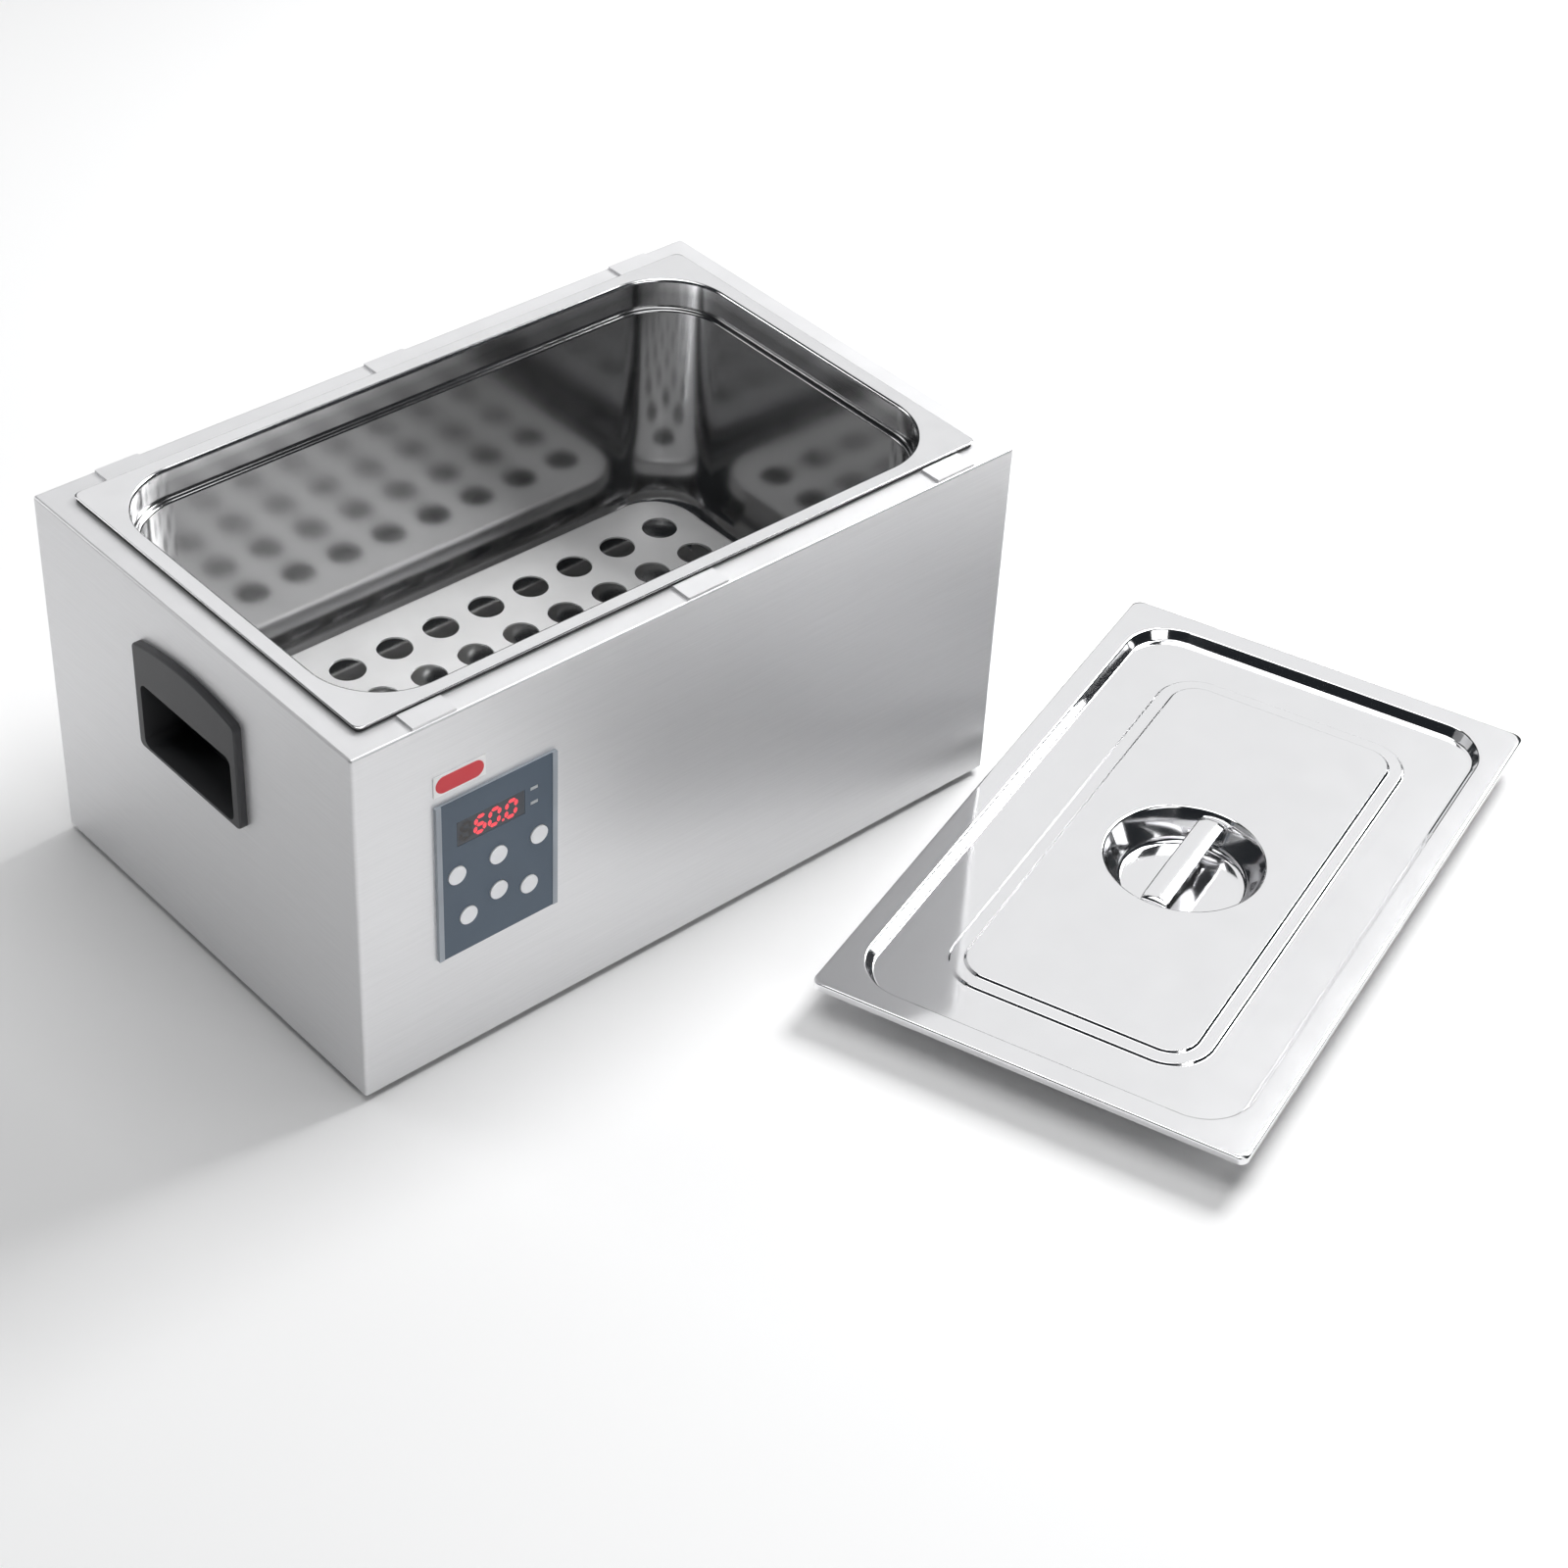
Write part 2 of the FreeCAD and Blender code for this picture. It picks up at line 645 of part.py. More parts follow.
def lid_pan():
    """The pressed lid: lip, border, recess, a field raised in two steps and the bowl under the strap."""
    body = new_body("lid_pan")
    gauge = d["lid_sheet"]
    top = d["lid_top"]
    recess_length = d["rim_length"] - 2 * d["lid_border"]
    recess_width = d["rim_width"] - 2 * d["lid_border"]
    floor = top - d["lid_recess"]
    field = floor + 2 * d["step_rise"]
    rim = sketch_on(body, "lid_outline", "XY_Plane", top - d["lid_lip"])
    draw_rounded(rim, d["rim_length"], d["rim_width"], d["lid_radius"])
    pad(body, "lid_block", rim, d["lid_lip"])
    fillet(body, "lid_edge", 1.6, level_at(DIMENSIONS["lid_top"]))
    lip = sketch_on(body, "lid_underside", "XY_Plane", top - gauge)
    draw_rounded(lip, d["rim_length"] - 2 * gauge, d["rim_width"] - 2 * gauge, d["lid_radius"] - gauge)
    pocket(body, "lid_hollow", lip, d["lid_lip"] - gauge)

    def frustum(name, low, low_size, high, high_size, subtract):
        sketches = []
        for tag, height, (length, width, radius) in (("low", low, low_size), ("high", high, high_size)):
            sketch = sketch_on(body, name + "_" + tag, "XY_Plane", height)
            draw_rounded(sketch, length, width, radius)
            sketches.append(sketch)
        loft(body, name, sketches[0], sketches[1], subtract)

    def around(length, width, radius, grow):
        return length + 2 * grow, width + 2 * grow, radius + grow

    slope = d["lid_slope"]
    frustum("recess_block", floor - gauge, around(recess_length, recess_width, 38, gauge - slope),
            top, around(recess_length, recess_width, 38, gauge), False)
    frustum("recess", floor, around(recess_length, recess_width, 38, -slope),
            top, around(recess_length, recess_width, 38, 0), True)
    step = d["step_slope"]
    middle = floor + d["step_rise"]
    outer = (d["field_length"], d["field_width"], 34)
    inner = around(*outer, -d["field_inset"])
    for name, size, low, high in (("outer_step", outer, floor, middle), ("inner_step", inner, middle, field)):
        frustum(name, low - gauge, size, high, around(*size, -step), False)
    for name, size, low, high in (("outer_step", outer, floor, middle), ("inner_step", inner, middle, field)):
        frustum(name + "_underside", low - 1.5 * gauge, around(*size, -gauge),
                high - gauge, around(*size, -step - gauge), True)
    bowl_outside = sketch_on(body, "bowl_outside", "XZ_Plane", 0)
    draw_polygon(bowl_outside, [
        (0, 0), (d["bowl_floor_radius"] + gauge, 0), (d["bowl_radius"] + gauge, field - gauge / 2),
        (0, field - gauge / 2),
    ])
    turned = body.newObject("PartDesign::Revolution", "bowl_block")
    turned.Profile = bowl_outside
    turned.ReferenceAxis = (bowl_outside, ["V_Axis"])
    turned.Angle = 360.0
    bowl_inside = sketch_on(body, "bowl_inside", "XZ_Plane", 0)
    draw_polygon(bowl_inside, [
        (0, gauge), (d["bowl_floor_radius"], gauge), (d["bowl_radius"], field), (d["bowl_radius"], field + 1),
        (0, field + 1),
    ])
    doc.recompute()
    before = body.Shape.Volume
    hollow = body.newObject("PartDesign::Groove", "bowl_hollow")
    hollow.Profile = bowl_inside
    hollow.ReferenceAxis = (bowl_inside, ["V_Axis"])
    hollow.Angle = 360.0
    doc.recompute()
    if not body.Shape.Volume < before - 1.0:
        raise RuntimeError("bowl_hollow takes nothing away")
    place_lid(body)


def lid_handle():
    """The strap across the bowl, its ends bent down and welded to the bowl's wall."""
    body = new_body("lid_handle")
    thick = 1.5
    field = d["lid_top"] - d["lid_recess"] + 2 * d["step_rise"]
    top = field + 0.6
    reach = d["bowl_radius"] - 1.5
    drop = 8.0
    outline = sketch_on(body, "strap_side", "XZ_Plane", 0)
    draw_polygon(outline, [
        (-reach + 4.0, top - drop), (-reach + 4.0 + thick, top - drop), (-reach + 6.6, top - thick),
        (reach - 6.6, top - thick), (reach - 4.0 - thick, top - drop), (reach - 4.0, top - drop),
        (reach - 1.0, top), (-reach + 1.0, top),
    ])
    pad(body, "strap", outline, d["strap_width"], both=True)
    place_lid(body)


# ---------------------------------------------------------------- handles

def recessed_handle(label, turn):
    """A moulded grip: an arched bezel on the casing and a finger cup behind it."""
    body = new_body(label)
    outer = left - d["grip_proud"]
    bezel = sketch_on(body, label + "_bezel_outline", "YZ_Plane", outer)
    draw_grip(bezel)
    pad(body, label + "_bezel", bezel, d["grip_proud"])
    fillet(body, label + "_corners", 5, lambda edge: edge.BoundBox.XLength > DIMENSIONS["grip_proud"] - 0.1)
    fillet(body, label + "_edge", 1.5, lambda edge: abs(edge.BoundBox.XMax - outer.value) < 1e-4)
    cup = sketch_on(body, label + "_cup_outline", "YZ_Plane", left)
    height = d["cup_top"] - d["cup_base"]
    middle = (d["cup_top"] + d["cup_base"]) / 2
    draw_rounded(cup, d["cup_length"], height, 5, (0.0, middle))
    pad(body, label + "_cup", cup, d["cup_depth"])
    finger = sketch_on(body, label + "_mouth_outline", "YZ_Plane", outer)
    wall = 2 * d["cup_wall"]
    draw_rounded(finger, d["cup_length"] - wall, height - wall, 6, (0.0, middle))
    depth = d["grip_proud"] + d["cup_depth"] - d["cup_wall"]
    pocket(body, label + "_mouth", finger, depth, forward=True)
    body.Placement = Placement(Vector(), Rotation(Vector(0, 0, 1), turn))


def draw_grip(sketch):
    """The bezel's outline: straight base and sides, and an arched top."""
    half = d["grip_length"] / 2
    base, side, crown = d["grip_base"], d["grip_side_top"], d["grip_crown"]
    h, b, s, c = half.value, base.value, side.value, crown.value
    lines = [
        sketch.addGeometry(Part.LineSegment(Vector(-h, s, 0), Vector(-h, b, 0))),
        sketch.addGeometry(Part.LineSegment(Vector(-h, b, 0), Vector(h, b, 0))),
        sketch.addGeometry(Part.LineSegment(Vector(h, b, 0), Vector(h, s, 0))),
    ]
    arch = Part.Arc(Vector(h, s, 0), Vector(0, c, 0), Vector(-h, s, 0))
    curve = sketch.addGeometry(arch)
    for one, two in zip(lines, lines[1:]):
        sketch.addConstraint(Sketcher.Constraint("Coincident", one, 2, two, 1))
    ends = [
        ("left_top", lines[0], 1, -half, side),
        ("left_base", lines[1], 1, -half, base),
        ("right_base", lines[2], 1, half, base),
        ("right_top", lines[2], 2, half, side),
    ]
    for name, line, point, x, y in ends:
        bind_constraints(sketch, name, {
            "x": (Sketcher.Constraint("DistanceX", -1, 1, line, point, x.value), x),
            "y": (Sketcher.Constraint("DistanceY", -1, 1, line, point, y.value), y),
        })
    sketch.addConstraint(Sketcher.Constraint("Coincident", curve, 1, lines[2], 2))
    sketch.addConstraint(Sketcher.Constraint("Coincident", curve, 2, lines[0], 1))
    rise = crown - side
    radius = (half * half + rise * rise) / (2 * rise)
    bind_constraints(sketch, "arch_", {
        "radius": (Sketcher.Constraint("Radius", curve, radius.value), radius),
    })


def handle_screws():
    """Screws that pull each cup against the casing from inside."""
    screws = []
    for sign in (-1, 1):
        for y in (-57.8, 57.8):
            for z in (165.0, 201.0):
                start = left + d["sheet"] if sign < 0 else -left - d["sheet"] - 3
                screws.append(cylinder("handle_screw", (start, y, z), 3.0, 3.0, "x"))
    keep(group("handle_screws", screws), "handle_screws")


# ---------------------------------------------------------------- control panel

def panel_spot(x, z):
    return d["panel_x"] + x, d["panel_z"] + z


def panel_cutters(name, first, last):
    """Holes for the keys, the lamps and the display through a layer of the panel."""
    tools = []
    hole = d["key_radius"] + d["key_gap"]
    for x, z in KEYS.values():
        px, pz = panel_spot(x, z)
        tools.append(cylinder(name + "_key_hole", (px, first, pz), hole, as_size(last) - first, "y"))
    dx, dz = panel_spot(d["display_x"], d["display_z"])
    low = (dx - d["display_width"] / 2, first, dz - d["display_height"] / 2)
    high = (dx + d["display_width"] / 2, last, dz + d["display_height"] / 2)
    tools.append(box(name + "_display_hole", low, high))
    for x, z in lamp_spots():
        tools.append(box(name + "_lamp_hole", (x - 3.3, first, z - 1.5), (x + 3.3, last, z + 1.5)))
    return tools


def lamp_spots():
    return [panel_spot(d["lamp_x"], z) for z in (43.5, 31.5)]


def control_panel():
    """The panel's frame, its printed overlay and the display's lens."""
    px, pz = d["panel_x"], d["panel_z"]
    proud = front - d["panel_proud"]
    face = proud + 0.4
    seat = face + d["overlay_sheet"]
    inside = front + 3.5
    half_w, half_h = d["panel_width"] / 2, d["panel_height"] / 2
    plate = box("frame_plate", (px - half_w, proud, pz - half_h), (px + half_w, front, pz + half_h))
    boss_w, boss_h = d["window_width"] / 2 - 1, d["window_height"] / 2 - 1
    boss = box("frame_boss", (px - boss_w, front, pz - boss_h), (px + boss_w, inside, pz + boss_h))
    blank = fuse("frame_blank", [plate, boss])
    rail = 4.0
    low = (px - half_w + rail, proud - 1, pz - half_h - 1)
    channel = box("frame_channel", low, (px + half_w - rail, seat, pz + half_h + 1))
    tools = [channel] + panel_cutters("frame", proud - 1, inside + 1)
    keep(cut("panel_frame", blank, tools), "panel_frame")
    low = (px - half_w + rail, face, pz - half_h)
    foil = box("foil", low, (px + half_w - rail, seat, pz + half_h))
    keep(cut("membrane_overlay", foil, panel_cutters("foil", face - 1, seat + 1)), "membrane_overlay")
    dx, dz = panel_spot(d["display_x"], d["display_z"])
    half_x, half_z = d["display_width"] / 2 - 0.2, d["display_height"] / 2 - 0.2
    low = (dx - half_x, face + 0.1, dz - half_z)
    keep(box("display_window", low, (dx + half_x, face + 1.6, dz + half_z)), "display_window")
    low = (dx - half_x + 0.3, face + 1.8, dz - half_z + 0.3)
    high = (dx + half_x - 0.3, board_front, dz + half_z - 0.3)
    keep(box("display_module", low, high), "display_module")


def keys():
    """Six round keys, each trapped behind the frame by a flange, over its own switch."""
    face = front - d["panel_proud"] + 0.4
    frame_back = front + 3.5
    switches = []
    for label, spot in KEYS.items():
        px, pz = panel_spot(*spot)
        cap_front = face - d["key_proud"]
        flange_front = frame_back + 0.2
        cap = cylinder(label + "_cap", (px, cap_front, pz), d["key_radius"], flange_front - cap_front + 0.6, "y")
        flange = cylinder(label + "_flange", (px, flange_front, pz), d["key_radius"] + 1.4, 1.2, "y")
        keep(fuse(label, [cap, flange]), label)
        low = (px - 3, board_front - 3.5, pz - 3)
        base = box("switch_base", low, (px + 3, board_front, pz + 3))
        stem = cylinder("switch_stem", (px, board_front - 6.4, pz), 1.75, 3.2, "y")
        switches.append(fuse("switch", [base, stem]))
    keep(group("tact_switches", switches), "tact_switches")
    lamps = []
    for x, z in lamp_spots():
        lamps.append(box("lamp", (x - 3, face + 0.1, z - 1.2), (x + 3, board_front, z + 1.2)))
    keep(group("indicator_lamps", lamps), "indicator_lamps")


def control_board():
    """The board behind the panel, its buzzer, and the spacers of both boards."""
    px, pz = d["panel_x"], d["panel_z"]
    low = (px - 43, board_front, pz - 59)
    high = (px + 43, board_front + d["board_sheet"], pz + 59)
    keep(box("control_board", low, high), "control_board")
    spot = (px + 24, board_front + d["board_sheet"], pz - 45)
    keep(cylinder("buzzer", spot, 6, 6, "y"), "buzzer")
    spacers = []
    frame_back = front + 3.5
    for x in (-39, 39):
        for z in (-55, 55):
            spacers.append(cylinder("spacer", (px + x, frame_back, pz + z), 2.5, board_front - frame_back, "y"))
    for x in (-215, -105):
        for y in (-95, -25):
            spacers.append(cylinder("spacer", (x, y, base_top), 2.5, 8))
    keep(group("board_spacers", spacers), "board_spacers")


def badge():
    """A plain badge glued above the panel."""
    low = (-223.0, front - 1.0, 230.5)
    keep(box("blank_badge", low, (-182.0, front, 246.5)), "blank_badge")


# ---------------------------------------------------------------- electrics in the base

def power_electrics():
    """Power board, transformer, relay with heat sink, terminals and the earth stud."""
    board = base_top + 8
    keep(box("power_board", (-220, -100, board), (-100, -20, board + 1.6)), "power_board")
    keep(box("transformer", (-212, -80, board + 1.6), (-168, -42, board + 34)), "transformer")
    sink_low = (-60, -90, base_top)
    block = box("sink_block", sink_low, (30, -20, base_top + 30))
    channels = []
    for number in range(8):
        x = -56 + 10.9 * number
        channels.append(box("sink_channel", (x, -91, base_top + 4), (x + 5.5, -19, base_top + 24)))
    keep(cut("heat_sink", block, channels), "heat_sink")
    keep(box("solid_state_relay", (-44, -78, base_top + 30), (14, -33, base_top + 54)), "solid_state_relay")
    block = box("terminal_base", (60, 100, base_top), (130, 124, base_top + 20))
    wells = []
    for number in range(6):
        x = 66.5 + 11 * number
        wells.append(cylinder("terminal_well", (x, 112, base_top + 8), 3.2, 14))
    keep(cut("terminal_block", block, wells), "terminal_block")
    plate = cylinder("earth_washer", (225, 110, base_top), 6, 2)
    stud = cylinder("earth_thread", (225, 110, base_top), 2.5, 14)
    nut = cylinder("earth_nut", (225, 110, base_top + 4), 4.4, 4)
    keep(fuse("earth_stud", [plate, stud, nut]), "earth_stud")


def mains_inlet():
    """A three-pin appliance inlet in the back wall, with its two screws."""
    x, z = d["inlet_x"], d["inlet_z"]
    half_w, half_h = d["inlet_width"] / 2, d["inlet_height"] / 2
    shell = box("inlet_shell", (x - half_w, back - 20, z - half_h), (x + half_w, back, z + half_h))
    flange = box("inlet_flange", (x - 25, back, z - 11.5), (x + 25, back + 2.5, z + 11.5))
    blank = fuse("inlet_blank", [shell, flange])
    socket = box("inlet_socket", (x - half_w + 1.5, back - 15.5, z - half_h + 1.5),
                 (x + half_w - 1.5, back + 3.5, z + half_h - 1.5))
    holes = [cylinder("inlet_screw_hole", (x + side * d["inlet_pitch"] / 2, back - 1, z), 1.75, 5, "y")
             for side in (-1, 1)]
    hollow = cut("inlet_hollow", blank, [socket] + holes)
    pins = []
    for offset, level in ((-7, 1.5), (0, -2.5), (7, 1.5)):
        low = (x + offset - 1, back - 17, z + level - 2)
        pins.append(box("inlet_pin", low, (x + offset + 1, back - 6, z + level + 2)))
    keep(fuse("mains_inlet", [hollow] + pins), "mains_inlet")
    screws = []
    for side in (-1, 1):
        sx = x + side * d["inlet_pitch"] / 2
        head = cylinder("inlet_screw_head", (sx, back + 2.5, z), 2.8, 1.6, "y")
        shank = cylinder("inlet_screw_shank", (sx, back - 5, z), 1.5, 8, "y")
        screws.append(fuse("inlet_screw", [head, shank]))
    keep(group("inlet_screws", screws), "inlet_screws")


def sensors():
    """The temperature probe with its clamp, and the safety thermostat with its bulb."""
    radius = 3.0
    height = tank_under - radius - 0.05
    keep(cylinder("temperature_probe", (-130, -112, height), radius, 55, "x"), "temperature_probe")
    low = (-110, -117, height - radius - 1.2)
    channel = box("clamp_block", low, (-95, -107, tank_under))
    groove = box("clamp_groove", (-111, -115.6, height - radius - 0.1), (-94, -108.4, tank_under + 1))
    keep(cut("probe_clamp", channel, [groove]), "probe_clamp")
    keep(box("safety_thermostat", (130, 40, base_top), (166, 76, base_top + 26)), "safety_thermostat")
    bulb = cylinder("bulb", (30, 112, height), radius, 70, "x")
    keep(bulb, "thermostat_bulb")
    route = [(100, 112, height), (148, 112, height), (148, 112, 50), (148, 58, 50), (148, 58, base_top + 26)]
    tube("capillary", route, 12, 0.9)


def leads():
    """The main leads inside the base: board to board, inlet to terminals, relay to heater."""
    board = base_top + 9.6
    down = board_front + 6
    x = d["panel_x"] - 20
    tube("panel_lead", [(x, down, 100), (x, down, 60), (x + 40, -115, 34), (x + 40, -92, 34), (x + 40, -92, board)],
         8, 2.2)
    inside = back - 20
    route = [(d["inlet_x"], inside, d["inlet_z"]), (d["inlet_x"], 140, d["inlet_z"]), (160, 112, 16), (130.2, 112, 16)]
    tube("mains_lead", route, 8, 3.2)
    top = tank_under - d["heater_sheet"] - d["felt"] - 0.3
    tube("heater_lead", [(14, -55, base_top + 42), (50, -55, base_top + 42), (50, -55, top)], 9, 2.4)


def check(item):
    """Stops the build on a failed feature or a bad shape."""
    shape = item.Shape
    if shape.isNull() or not shape.isValid() or not shape.Solids:
        raise RuntimeError("%s has a bad shape" % item.Label)


def main():
    outer_casing()
    base_plate()
    feet()
    base_screws()
    tank()
    rim_gasket()
    rim_tabs()
    heaters()
    insulation()
    false_bottom()
    lid_pan()
    lid_handle()
    recessed_handle("handle_left", 0)
    recessed_handle("handle_right", 180)
    handle_screws()
    control_panel()
    keys()
    control_board()
    badge()
    power_electrics()
    mains_inlet()
    sensors()
    leads()
    doc.recompute()
    for item in doc.Objects:
        if "Invalid" in item.State or "Error" in item.State:
            raise RuntimeError("%s failed: %s" % (item.Name, item.State))
    os.makedirs("parts", exist_ok=True)
    for item in subparts:
        check(item)
    for item in subparts:
        item.Shape.exportStep(os.path.join("parts", item.Label + ".step"))
    print("%d sub-parts written" % len(subparts))


main()
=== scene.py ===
import math

import bmesh
import bpy
from mathutils import Matrix, Vector


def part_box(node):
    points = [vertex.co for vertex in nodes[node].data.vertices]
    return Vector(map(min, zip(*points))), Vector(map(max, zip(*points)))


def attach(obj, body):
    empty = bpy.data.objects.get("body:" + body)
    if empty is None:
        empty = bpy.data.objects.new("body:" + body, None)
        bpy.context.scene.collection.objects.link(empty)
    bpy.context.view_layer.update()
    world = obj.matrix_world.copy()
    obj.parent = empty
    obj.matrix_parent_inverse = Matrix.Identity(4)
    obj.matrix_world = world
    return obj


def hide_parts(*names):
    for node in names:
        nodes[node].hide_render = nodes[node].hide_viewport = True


# Sous vide water bath with its lid beside it. Lengths are written in millimetres and turned into
# metres where geometry is made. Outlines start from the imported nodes' own boxes.

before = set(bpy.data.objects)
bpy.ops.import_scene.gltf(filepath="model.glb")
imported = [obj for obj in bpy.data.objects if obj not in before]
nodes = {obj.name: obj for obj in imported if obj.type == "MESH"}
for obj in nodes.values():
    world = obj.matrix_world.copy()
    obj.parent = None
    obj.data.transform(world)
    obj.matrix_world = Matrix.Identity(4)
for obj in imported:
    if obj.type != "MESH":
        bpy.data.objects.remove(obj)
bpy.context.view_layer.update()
MM = 0.001
CORNER_STEPS = 20


def half_size(name):
    """A node's half length, half width and top, in millimetres."""
    low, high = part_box(name)
    return (high[0] - low[0]) / 2 / MM, (high[1] - low[1]) / 2 / MM, high[2] / MM


def middle_of(name):
    low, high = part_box(name)
    return (Vector(low) + Vector(high)) / 2


RIM_X, RIM_Y, RIM_TOP = half_size("tank")
LID_TURN = math.radians(19.1)
LID_TOP = half_size("lid_pan")[2]


# ---------------------------------------------------------------- mesh helpers

def ring(half_x, half_y, radius, z):
    """A rounded rectangle's points, anticlockwise from above, in metres."""
    points = []
    for sx, sy, start in ((1, -1, -90), (1, 1, 0), (-1, 1, 90), (-1, -1, 180)):
        for step in range(CORNER_STEPS + 1):
            angle = math.radians(start + 90.0 * step / CORNER_STEPS)
            x = sx * (half_x - radius) + radius * math.cos(angle)
            y = sy * (half_y - radius) + radius * math.sin(angle)
            points.append(Vector((x, y, z)) * MM)
    return points


def bend_path(points, steps=6):
    """Rounds a path's corners. A point is (half_x, half_y, corner radius, z, bend radius)."""
    path = [points[0][:4]]
    for before, here, after in zip(points, points[1:], points[2:]):
        bend = here[4]
        if bend <= 0:
            path.append(here[:4])
            continue
        a, b, c = (Vector((p[0], p[3])) for p in (before, here, after))
        into, out = (a - b), (c - b)
        opening = into.angle(out)
        reach = bend / math.tan(opening / 2)
        start, end = reach / into.length, reach / out.length
        for step in range(steps + 1):
            t = step / steps
            mixed = []
            for i in range(4):
                p = here[i] + (before[i] - here[i]) * start
                q = here[i] + (after[i] - here[i]) * end
                mixed.append((1 - t) ** 2 * p + 2 * t * (1 - t) * here[i] + t * t * q)
            path.append(tuple(mixed))
    path.append(points[-1][:4])
    return path


def new_object(name, mesh_data):
    item = bpy.data.objects.new(name, mesh_data)
    bpy.context.scene.collection.objects.link(item)
    return item


def shell(name, path):
    """Skins a path of rounded rectangles, one inside the next, and closes the middle."""
    bm = bmesh.new()
    rows = [[bm.verts.new(p) for p in ring(*spec)] for spec in path]
    for outer, inner in zip(rows, rows[1:]):
        count = len(outer)
        for i in range(count):
            j = (i + 1) % count
            bm.faces.new((outer[i], outer[j], inner[j], inner[i]))
    bm.faces.new(rows[-1])
    bmesh.ops.remove_doubles(bm, verts=bm.verts, dist=1e-7)
    return finish_mesh(name, bm)


def finish_mesh(name, bm, smooth=True):
    data = bpy.data.meshes.new(name)
    bm.to_mesh(data)
    bm.free()
    data.polygons.foreach_set("use_smooth", [smooth] * len(data.polygons))
    return new_object(name, data)


def thicken(item, thickness):
    """Gives a skin its sheet thickness on the side away from its normals."""
    modifier = item.modifiers.new("sheet", "SOLIDIFY")
    modifier.thickness = thickness * MM
    modifier.offset = -1.0
    return item


def weigh(item):
    """Lets the large flat faces set the normals, so bends look round and sheets look flat."""
    modifier = item.modifiers.new("normals", "WEIGHTED_NORMAL")
    modifier.keep_sharp = True
    modifier.weight = 80
    return item


# ---------------------------------------------------------------- materials

class Nodes:
    """A short way to write a node material."""

    def __init__(self, name):
        self.material = bpy.data.materials.new(name)
        self.material.use_nodes = True
        self.tree = self.material.node_tree
        self.shader = self.tree.nodes["Principled BSDF"]

    def add(self, kind, **settings):
        node = self.tree.nodes.new(kind)
        for key, value in settings.items():
            setattr(node, key, value)
        return node

    def link(self, start, end):
        self.tree.links.new(start, end)

    def set(self, **values):
        for key, value in values.items():
            self.shader.inputs[key.replace("_", " ")].default_value = value
        return self

    def stretched(self, scale):
        """Object coordinates, scaled per axis."""
        coords = self.add("ShaderNodeTexCoord")
        mapping = self.add("ShaderNodeMapping")
        mapping.inputs["Scale"].default_value = scale
        self.link(coords.outputs["Object"], mapping.inputs["Vector"])
        return mapping.outputs["Vector"]

    def noise(self, vector, scale, detail=2.0, roughness=0.5):
        node = self.add("ShaderNodeTexNoise")
        node.inputs["Scale"].default_value = scale
        node.inputs["Detail"].default_value = detail
        node.inputs["Roughness"].default_value = roughness
        self.link(vector, node.inputs["Vector"])
        return node.outputs["Fac"]

    def spread(self, value, low, high):
        """Maps 0..1 to a range."""
        node = self.add("ShaderNodeMapRange")
        node.inputs["To Min"].default_value = low
        node.inputs["To Max"].default_value = high
        self.link(value, node.inputs["Value"])
        return node.outputs["Result"]

    def ramp(self, value, stops):
        node = self.add("ShaderNodeValToRGB")
        elements = node.color_ramp.elements
        while len(elements) < len(stops):
            elements.new(0.5)
        for element, (place, colour) in zip(elements, stops):
            element.position = place
            element.color = (*colour, 1.0)
        self.link(value, node.inputs["Fac"])
        return node.outputs["Color"]

    def bump(self, value, strength, distance):
        node = self.add("ShaderNodeBump")
        node.inputs["Strength"].default_value = strength
        node.inputs["Distance"].default_value = distance
        self.link(value, node.inputs["Height"])
        self.link(node.outputs["Normal"], self.shader.inputs["Normal"])
        return self


def metal(name, colour, rough, grain=(1.0, 1.0, 1.0), scale=60.0, bump=0.02,
          swing=0.06, tone=0.05, metallic=1.0):
    """Steel whose grain is a noise stretched along the brushing."""
    m = Nodes(name)
    m.set(Metallic=metallic, Roughness=rough)
    fine = m.noise(m.stretched(grain), scale, 3.0, 0.6)
    broad = m.noise(m.stretched((1.0, 1.0, 1.0)), 3.0, 2.0)
    darker = tuple(c * (1.0 - tone) for c in colour)
    m.link(m.ramp(fine, [(0.3, darker), (0.7, colour)]), m.shader.inputs["Base Color"])
    mixed = m.add("ShaderNodeMath", operation="MULTIPLY_ADD")
    m.link(fine, mixed.inputs[0])
    mixed.inputs[1].default_value = 0.6
    m.link(m.spread(broad, 0.0, 0.4), mixed.inputs[2])
    m.link(m.spread(mixed.outputs[0], rough - swing, rough + swing), m.shader.inputs["Roughness"])
    m.bump(fine, bump, 0.0002)
    return m.material


def levels(m, colours):
    """A colour that changes with height: (metres, colour) pairs from the floor up."""
    coords = m.add("ShaderNodeTexCoord")
    split = m.add("ShaderNodeSeparateXYZ")
    m.link(coords.outputs["Object"], split.inputs["Vector"])
    low, high = colours[0][0], colours[-1][0]
    node = m.add("ShaderNodeMapRange")
    node.inputs["From Min"].default_value = low
    node.inputs["From Max"].default_value = high
    m.link(split.outputs["Z"], node.inputs["Value"])
    return m.ramp(node.outputs["Result"], [((z - low) / (high - low), colour) for z, colour in colours])


